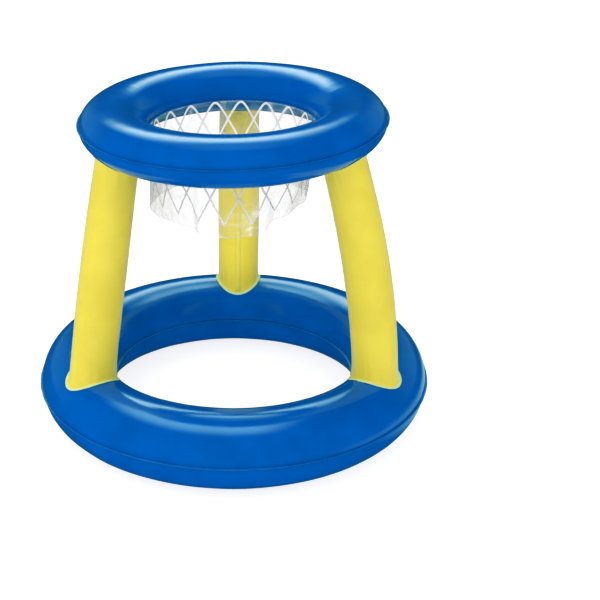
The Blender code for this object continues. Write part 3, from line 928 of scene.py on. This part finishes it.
ARCH_COUNT = 19
ARCH_AZIMUTH = math.radians(84)
ARCH_REACH = 1.5 * math.tau / ARCH_COUNT
ARCH_TOP = 0.002
ARCH_FALL_SHARE = 0.845
ARCH_ROUNDING = 0.0075
LINE_WIDTH = 0.0027
LINE_SWELL = 0.35
LINE_TAPER = 0.525
LINE_STEPS = 120
CROSSING_RUN = 0.1
INK = 0.00005
INK_LIFT = 0.00008
INK_CROSSING = 0.0002
INK_PITCHES = (0.0012, 0.012, 0.002)
INK_CLOUD_SHARE = 0.6
INK_THIN = (0.74, 0.76, 0.78)
INK_FULL = (0.86, 0.87, 0.88)
INK_ROUGHNESS = 0.38
INK_GRAIN_DULLNESS = 0.15


def tuck_share(azimuth, tuck):
    """How far a place round the film lies in a tuck, from 0 to 1."""
    turn = azimuth - (math.radians(tuck["centre"]) - math.pi)
    turn = turn.apply("FLOORED_MODULO", math.tau) - math.pi
    inside = []
    for side, edge, sign in zip(tuck["sides"], tuck["edges"], (-1.0, 1.0)):
        middle, half = math.radians(side), math.radians(edge) / 2
        inside.append(1.0 - (turn * sign).smooth(middle - half, middle + half))
    return inside[0] * inside[1]


def film_place(azimuth, down, off, hem=0.0):
    """A place on the hanging film: down along it, off its inner face, or back along its hem."""
    zero = azimuth * 0.0
    across = zero - (TOP_HALF_WIDTH + WELD_WIDTH) + hem
    radius = across * math.cos(TOP_ROLL) + (TOP_RADIUS - HEM_TOP * math.sin(TOP_ROLL))
    height = across * math.sin(TOP_ROLL) + HEM_TOP * math.cos(TOP_ROLL)
    ring = (radius * azimuth.cos(), radius * azimuth.sin(), height)
    share = down / NET_HEIGHT
    sway = zero
    for count, part, phase in FILM_FOLDS:
        sway = sway + (azimuth * count + phase).sin() * (part * FOLD_DEPTH)
    lift = zero
    for tuck in FILM_TUCKS:
        tucked = tuck_share(azimuth, tuck)
        sway = sway - tucked * tuck["depth"]
        lift = lift + tucked * tuck["lift"]
    crumples = noise(joined(azimuth.cos() * TOP_RADIUS, azimuth.sin() * TOP_RADIUS,
                            down * CRUMPLE_DROP), 1.0 / CRUMPLE_PITCH, detail=1.5)
    out = (sway * share ** FOLD_POWER + crumples * (share ** CRUMPLE_POWER) * CRUMPLE_DEPTH
           + off)
    carried = []
    for row in range(3):
        matrix = TOP_PLACE[row]
        carried.append(ring[0] * matrix[0] + ring[1] * matrix[1] + ring[2] * matrix[2] + matrix[3])
    return joined(carried[0] + azimuth.cos() * out, carried[1] + azimuth.sin() * out,
                  carried[2] - down + lift * share ** 2.0)


def film_tree(material):
    """A stretch of the hanging film, with its hem."""
    tree, size, output = new_tree(
        "hanging_film", ("Height", "Hem", "Start", "Extent", "Off", "Mark"), ("Columns", "Rows"))
    grid = add_node(tree, "GeometryNodeMeshGrid", {
        "Size X": 1.0, "Size Y": 1.0,
        "Vertices X": size["Columns"] + 1, "Vertices Y": size["Rows"] + 1})
    around_share, row_share, _ = spot_parts(tree)
    azimuth = (around_share + 0.5) * size["Extent"] + size["Start"]
    row = (row_share + 0.5) * size["Rows"]
    hem = (1.0 - row).clamped(0.0, 1.0) * size["Hem"]
    down = ((row - 1.0) / (size["Rows"] - 1.0)).clamped(0.0, 1.0) * size["Height"]
    edge = 1.0 - (row - 1.0).smooth(0.0, WELD_ROWS)
    edge = edge + (row - size["Rows"] + WELD_ROWS).smooth(0.0, 1.0) * HEM_MARK
    marked = stored(tree, grid.outputs["Mesh"], "weld", edge + size["Mark"])
    shaped = add_node(tree, "GeometryNodeSetPosition", {
        "Geometry": marked, "Position": film_place(azimuth, down, size["Off"], hem)})
    closed = add_node(tree, "GeometryNodeMergeByDistance", {
        "Geometry": shaped.outputs["Geometry"], "Distance": MERGE_DISTANCE})
    finish_tree(tree, closed.outputs["Geometry"], output, material)
    return tree


def print_tree(material):
    """The printed arches: one strip, repeated round the film."""
    tree, size, output = new_tree("printed_net", (
        "Reach", "Top", "Fall", "Rounding", "Line Width", "Start", "Off"),
        ("Arches", "Steps"))
    grid = add_node(tree, "GeometryNodeMeshGrid", {
        "Size X": 2.0, "Size Y": 1.0, "Vertices X": size["Steps"] + 1, "Vertices Y": 3})
    strips = add_node(tree, "GeometryNodeMeshLine", {
        "Count": size["Arches"], "Start Location": (0.0, 0.0, 0.0), "Offset": (0.0, 0.0, 1.0)})
    placed = add_node(tree, "GeometryNodeInstanceOnPoints", {
        "Points": strips.outputs["Mesh"], "Instance": grid.outputs["Mesh"]})
    real = add_node(tree, "GeometryNodeRealizeInstances", {"Geometry": placed.outputs["Instances"]})
    along, across, arch = spot_parts(tree)
    run = along * size["Reach"]
    rounding = size["Rounding"] * size["Rounding"]
    bend = (run * run + rounding).apply("SQRT")
    end_bend = (size["Reach"] * size["Reach"] + rounding).apply("SQRT")
    steepness = size["Fall"] / (end_bend - size["Rounding"])
    slope = steepness * run / bend
    width = size["Line Width"] * (1.0 + LINE_SWELL - along.magnitude() * LINE_TAPER)
    height = width * (slope * slope + 1.0).apply("SQRT")
    down = size["Top"] + steepness * (bend - size["Rounding"]) + across * height
    azimuth = size["Start"] + arch * (math.tau / ARCH_COUNT) + along * ARCH_REACH
    layer = along.clamped(-CROSSING_RUN, CROSSING_RUN) * INK_CROSSING
    shaped = add_node(tree, "GeometryNodeSetPosition", {
        "Geometry": real.outputs["Geometry"],
        "Position": film_place(azimuth, down, layer + size["Off"])})
    finish_tree(tree, shaped.outputs["Geometry"], output, material)
    return tree


def clear_film():
    """Clear soft film: milky where seen edge on, with fine crinkle lines in its bump, whitened as
    painted glints.
    """
    material, tree, shader = new_material("clear_net_film")
    coordinate = add_node(tree, "ShaderNodeTexCoord")
    place = Field(tree, coordinate.outputs["Object"])
    crinkles_and_glints = 0.0
    for pitch, stretch, part in CRINKLE_AND_GLINT_SETS:
        distance = noise(stretched(place, pitch, stretch), 1.0, detail=0.5).magnitude()
        crinkles_and_glints = crinkles_and_glints + (1.0 - distance * CRINKLE_SHARPNESS).clamped(0.0, 1.0) * part
    edge_on = Field(tree, add_node(tree, "ShaderNodeLayerWeight",
                                   {"Blend": EDGE_BLEND}).outputs["Facing"])
    weld = attribute(tree, "weld")
    # Crinkle lines show more of the film and turn milky below: painted glints. The welds' haze is
    # the film's own.
    cover = edge_on * EDGE_COVER + crinkles_and_glints * CRINKLE_GLINT_COVER + weld * WELD_COVER + FILM_COVER
    tree.links.new(cover.clamped(0.0, MOST_COVER).socket, shader.inputs["Alpha"])
    haze_and_painted_glints = (crinkles_and_glints + weld * WELD_HAZE).clamped(0.0, 1.0)
    tree.links.new(joined(*blended(haze_and_painted_glints, FILM_CLEAR, FILM_MILKY_AND_GLINT)), shader.inputs["Base Color"])
    dull = crinkles_and_glints * CRINKLE_DULLNESS + FILM_ROUGHNESS
    tree.links.new(dull.socket, shader.inputs["Roughness"])
    bump = add_node(tree, "ShaderNodeBump", {
        "Height": crinkles_and_glints, "Strength": CRINKLE_BUMP, "Distance": CRINKLE_HEIGHT})
    tree.links.new(bump.outputs["Normal"], shader.inputs["Normal"])
    return material


def white_ink():
    """The net's printed ink, a little uneven."""
    material, tree, shader = new_material("white_ink")
    grain, cloud, _ = surface_marks(tree, *INK_PITCHES)
    fullness = cloud * INK_CLOUD_SHARE + grain * (1.0 - INK_CLOUD_SHARE)
    tree.links.new(joined(*blended(fullness, INK_THIN, INK_FULL)), shader.inputs["Base Color"])
    dull = grain * INK_GRAIN_DULLNESS + INK_ROUGHNESS
    tree.links.new(dull.socket, shader.inputs["Roughness"])
    return material


def add_net():
    """The film sleeve, its lap weld and its printed net."""
    tree = film_tree(clear_film())
    film = grown("net_sleeve", tree, {
        "Height": NET_HEIGHT, "Hem": HEM_WIDTH, "Start": 0.0, "Extent": math.tau, "Off": 0.0,
        "Mark": 0.0, "Columns": 640, "Rows": 64})
    flat_radius = TOP_RADIUS - TOP_HALF_WIDTH - WELD_WIDTH
    extent = FILM_LAP_WIDTH / flat_radius
    lap = grown("net_lap_weld", tree, {
        "Height": NET_HEIGHT, "Hem": 0.0, "Start": FILM_LAP_AZIMUTH - extent / 2,
        "Extent": extent, "Off": FILM + INK_LIFT, "Mark": 1.0, "Columns": 9, "Rows": 64})
    for piece in (film, lap):
        add_wall(piece, FILM)
    fall = NET_HEIGHT * ARCH_FALL_SHARE - ARCH_TOP
    lines = grown("net_print", print_tree(white_ink()), {
        "Reach": flat_radius * ARCH_REACH, "Top": ARCH_TOP, "Fall": fall,
        "Rounding": ARCH_ROUNDING, "Line Width": LINE_WIDTH, "Start": ARCH_AZIMUTH,
        "Off": -INK_LIFT, "Arches": ARCH_COUNT, "Steps": LINE_STEPS})
    add_wall(lines, INK)
    for piece in (film, lap, lines):
        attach(piece, "hoop")
    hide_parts("net_film")


add_net()


# The valves: one on each ring, moulded in milky vinyl. A collar is welded on the ring's wall; the
# stem slides in it and carries, on a bending strap, the plug that closes it, and inside the ring
# a thin flap that lets air in but not out.
COLLAR_REACH = 0.011
COLLAR_BORE = 0.0053
COLLAR_NECK = 0.0068
COLLAR_HEIGHT = 0.0028
COLLAR_BEND = 0.0012
FLANGE_HEIGHT = 0.0008
FLANGE_LIFT = 0.0003
WELD_RINGS = (0.0103, 0.0090)
RING_SLOPE = 0.0002
RING_CREST = 0.0003
STEM_BORE = 0.004
STEM_RADIUS = 0.005
STEM_LENGTH = 0.0114
LIP_RADIUS = 0.0065
LIP_LOW = 0.0031
LIP_TOP = 0.0043
STOP_RADIUS = 0.006
STOP_HEIGHT = 0.0008
EAR_REACH = 0.0104
EAR_WIDTH = 0.003
EAR_OVERLAP = 0.0002
PLUG_HINGE = (0.010, 0.005)
HEAD_RADIUS = 0.0055
HEAD_LOW = -0.0004
HEAD_TOP = 0.0006
HEAD_EDGE_SHARE = 0.5
HEAD_CROWN_SHARE = 0.6
PLUG_RADIUS = 0.0035
PLUG_SEAL_LOW = -0.0020
PLUG_SEAL_TAPER = 0.0002
PLUG_TIP = (0.0028, -0.0047)
STRAP_WIDTH = 0.003
STRAP_WALL = 0.0008
JOIN_OVERLAP = 0.0004
GRIP_REACH = 0.0085
GRIP_RIBS = (0.0065, 0.0072, 0.0079)
RIB_WIDTH = 0.0003
RIB_HEIGHT = 0.0002
FLAP_RADIUS = 0.0046
FLAP_MIDDLE = -0.01195
FLAP_WALL = 0.0005
FLAP_HINGE = 0.0052
MOULD_ROUND = 0.00025
ROUND_STEPS = 3
VALVE_TURNS = 72
SHARP_ANGLE = math.radians(40)
WALL_HOLE = 0.0075

MOULD_PITCHES = (0.0003, 0.006, 0.0008)
MILKY_DEEP = (0.60, 0.64, 0.67)
MILKY_CLEAR = (0.74, 0.77, 0.79)
MILKY_WORN = (0.88, 0.89, 0.90)
SCRATCH_SHARE = 0.3
MOULD_ROUGHNESS = 0.30
MOULD_GRAIN_DULLNESS = 0.08
MOULD_SCRATCH_DULLNESS = 0.1
MOULD_BUMP = 0.4
MOULD_GRAIN_DEPTH = 0.00002
MILKY_SHARE = 0.2
MILKY_DEPTH = (0.002, 0.002, 0.002)


def valve_seat(ring):
    """The frame of a valve: its third axis points out of the ring, its first away from the ear."""
    joints = {joint["name"]: joint for joint in frame["record"]["behaviour"]["joints"]}
    out = Vector(joints[f"{ring}_stem_slide"]["axis"]).normalized()
    level = Vector(joints[f"{ring}_flap_hinge"]["axis"]).normalized()
    along = level.cross(out)
    seat = (Vector(joints[f"{ring}_plug_hinge"]["pos_m"])
            + along * PLUG_HINGE[0] - out * PLUG_HINGE[1])
    return Matrix.Translation(seat) @ Matrix((along, level, out)).transposed().to_4x4()


def softened(outline, radius):
    """An outline of radius and height whose corners are rounded, apart from those on the axis."""
    points = []
    for number, corner in enumerate(outline):
        corner = Vector(corner)
        if corner.x == 0.0:
            points.append(corner)
            continue
        before = Vector(outline[number - 1]) - corner
        after = Vector(outline[(number + 1) % len(outline)]) - corner
        start, end = (corner + side.normalized() * min(radius, side.length / 2)
                      for side in (before, after))
        for step in range(ROUND_STEPS + 1):
            share = step / ROUND_STEPS
            points.append(start.lerp(corner, share).lerp(corner.lerp(end, share), share))
    return points


def turned(builder, outline, rounding):
    """The rounded outline, turned about the third axis; it is closed or ends on that axis."""
    closed = all(radius for radius, _ in outline)
    rings = []
    for radius, height in softened(outline, rounding):
        if radius == 0.0:
            rings.append([builder.verts.new((0.0, 0.0, height))])
            continue
        rings.append([builder.verts.new((radius * math.cos(math.tau * turn / VALVE_TURNS),
                                         radius * math.sin(math.tau * turn / VALVE_TURNS), height))
                      for turn in range(VALVE_TURNS)])
    pairs = list(zip(rings, rings[1:])) + ([(rings[-1], rings[0])] if closed else [])
    for low, high in pairs:
        for turn in range(VALVE_TURNS):
            following = (turn + 1) % VALVE_TURNS
            corners = [low[turn % len(low)], low[following % len(low)],
                       high[following % len(high)], high[turn % len(high)]]
            corners = list(dict.fromkeys(corners))
            if len(corners) > 2:
                builder.faces.new(corners)


def bar(builder, low, high):
    """A moulded bar between two corners, with rounded edges."""
    made = bmesh.ops.create_cube(builder, size=1.0)["verts"]
    size = [b - a for a, b in zip(low, high)]
    middle = [(a + b) / 2 for a, b in zip(low, high)]
    bmesh.ops.scale(builder, verts=made, vec=size)
    bmesh.ops.translate(builder, verts=made, vec=middle)
    edges = list({edge for vert in made for edge in vert.link_edges})
    bmesh.ops.bevel(builder, geom=edges, offset=min(MOULD_ROUND, min(size) / 3),
                    segments=ROUND_STEPS, profile=0.5, affect="EDGES")


def fill_collar(builder):
    """A flange with two pressed weld rings, and the neck that guides the stem."""
    low, top = FLANGE_LIFT, FLANGE_LIFT + FLANGE_HEIGHT
    outline = [(COLLAR_BORE, low), (COLLAR_REACH, low), (COLLAR_REACH, top)]
    for outside in WELD_RINGS:
        crest = outside - RING_SLOPE
        inside = crest - RING_CREST
        outline += [(outside, top), (crest, top + MOULD_ROUND), (inside, top + MOULD_ROUND),
                    (inside - RING_SLOPE, top)]
    outline += [(COLLAR_NECK, top), (COLLAR_NECK, COLLAR_HEIGHT), (COLLAR_BORE, COLLAR_HEIGHT)]
    turned(builder, outline, MOULD_ROUND / 2)


def fill_stem(builder):
    """The tube with its lip, its stop inside the ring, and the ear that carries the plug."""
    foot = -STEM_LENGTH
    outline = [(STEM_BORE, foot), (STOP_RADIUS, foot), (STOP_RADIUS, foot + STOP_HEIGHT),
               (STEM_RADIUS, foot + STOP_HEIGHT), (STEM_RADIUS, LIP_LOW), (LIP_RADIUS, LIP_LOW),
               (LIP_RADIUS, LIP_TOP), (STEM_BORE, LIP_TOP)]
    turned(builder, outline, MOULD_ROUND)
    side = EAR_WIDTH / 2
    bar(builder, (-EAR_REACH, -side, LIP_LOW), (EAR_OVERLAP - LIP_RADIUS, side, LIP_TOP))


def fill_plug(builder):
    """The tapered plug under its domed head, the strap to the ear and the grip beside it."""
    hinge_reach, base = PLUG_HINGE
    tip_radius, tip = PLUG_TIP
    low = base + HEAD_LOW
    outline = [(0.0, base + tip), (tip_radius, base + tip), (PLUG_RADIUS, base + PLUG_SEAL_LOW),
               (PLUG_RADIUS - PLUG_SEAL_TAPER, low), (HEAD_RADIUS, low),
               (HEAD_RADIUS, base + HEAD_TOP * HEAD_EDGE_SHARE),
               (HEAD_RADIUS * HEAD_CROWN_SHARE, base + HEAD_TOP), (0.0, base + HEAD_TOP)]
    turned(builder, outline, MOULD_ROUND / 2)
    side = STRAP_WIDTH / 2
    top = low + STRAP_WALL
    bar(builder, (-hinge_reach - JOIN_OVERLAP, -side, low),
        (JOIN_OVERLAP - HEAD_RADIUS, side, top))
    bar(builder, (HEAD_RADIUS - JOIN_OVERLAP, -side, low), (GRIP_REACH, side, top))
    for reach in GRIP_RIBS:
        bar(builder, (reach, -side, low + STRAP_WALL / 2),
            (reach + RIB_WIDTH, side, top + RIB_HEIGHT))


def fill_flap(builder):
    """The thin disc over the stem's inner end, and its living hinge."""
    low, top = FLAP_MIDDLE - FLAP_WALL / 2, FLAP_MIDDLE + FLAP_WALL / 2
    outline = [(0.0, low), (FLAP_RADIUS, low), (FLAP_RADIUS, top), (0.0, top)]
    turned(builder, outline, FLAP_WALL / 3)
    side = EAR_WIDTH / 2
    bar(builder, (-FLAP_HINGE, -side, low), (JOIN_OVERLAP - FLAP_RADIUS, side, top))


def milky_vinyl():
    """Moulded milky vinyl, a little cloudy, with fine mould grain."""
    material, tree, shader = new_material("milky_valve_vinyl")
    grain, cloud, scratches = surface_marks(tree, *MOULD_PITCHES)
    colour = over(scratches * SCRATCH_SHARE, blended(cloud, MILKY_DEEP, MILKY_CLEAR), MILKY_WORN)
    tree.links.new(joined(*colour), shader.inputs["Base Color"])
    dull = grain * MOULD_GRAIN_DULLNESS + scratches * MOULD_SCRATCH_DULLNESS + MOULD_ROUGHNESS
    tree.links.new(dull.socket, shader.inputs["Roughness"])
    bump = add_node(tree, "ShaderNodeBump", {
        "Height": grain, "Strength": MOULD_BUMP, "Distance": MOULD_GRAIN_DEPTH})
    tree.links.new(bump.outputs["Normal"], shader.inputs["Normal"])
    shader.inputs["Subsurface Weight"].default_value = MILKY_SHARE
    shader.inputs["Subsurface Radius"].default_value = MILKY_DEPTH
    shader.inputs["Subsurface Scale"].default_value = 1.0
    return material


def lay_on_wall(mesh, seat, skin):
    """Bend a collar's flange down onto the ring's round wall; the neck stays straight."""
    out = seat.to_3x3().col[2]
    for vert in mesh.vertices:
        reach = math.hypot(vert.co.x, vert.co.y)
        share = min(max((reach - COLLAR_NECK) / COLLAR_BEND + 0.5, 0.0), 1.0)
        if share == 0.0:
            continue
        start = seat @ Vector((vert.co.x, vert.co.y, COLLAR_REACH))
        hit = skin.ray_cast(start, -out, COLLAR_REACH * 2)[0]
        if hit is not None:
            vert.co.z += share * (seat.inverted() @ hit).z


def cut_wall(panel, seat):
    """The hole in a ring's wall under a collar, where the stem passes."""
    builder = bmesh.new()
    builder.from_mesh(panel.data)
    middle = seat.translation
    near = [face for face in builder.faces
            if (face.calc_center_median() - middle).length < WALL_HOLE]
    bmesh.ops.delete(builder, geom=near, context="FACES")
    builder.to_mesh(panel.data)
    builder.free()


def valve_mesh(name, fill, material):
    """The mesh of a moulded piece in the valve's own frame, made by a function that fills it."""
    builder = bmesh.new()
    fill(builder)
    bmesh.ops.recalc_face_normals(builder, faces=builder.faces)
    mesh = bpy.data.meshes.new(name)
    builder.to_mesh(mesh)
    builder.free()
    mesh.materials.append(material)
    return mesh


def add_valves():
    """Both valves, each of four pieces."""
    material = milky_vinyl()
    for ring, panel_name in (("base", "base_ring_upper"), ("top", "top_ring_lower")):
        seat = valve_seat(ring)
        skin = skin_of(panel_name)
        for part, body, fill in (("collar", "hoop", fill_collar),
                                 ("stem", f"{ring}_stem", fill_stem),
                                 ("plug", f"{ring}_plug", fill_plug),
                                 ("flap", f"{ring}_flap", fill_flap)):
            name = f"{ring}_{part}_moulding"
            mesh = valve_mesh(name, fill, material)
            if part == "collar":
                lay_on_wall(mesh, seat, skin)
            mesh.transform(seat)
            mesh.shade_smooth()
            mesh.set_sharp_from_angle(angle=SHARP_ANGLE)
            piece = linked(name, mesh)
            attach(piece, body)
            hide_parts(f"{ring}_valve_{part}")
        cut_wall(bpy.data.objects[panel_name], seat)


add_valves()
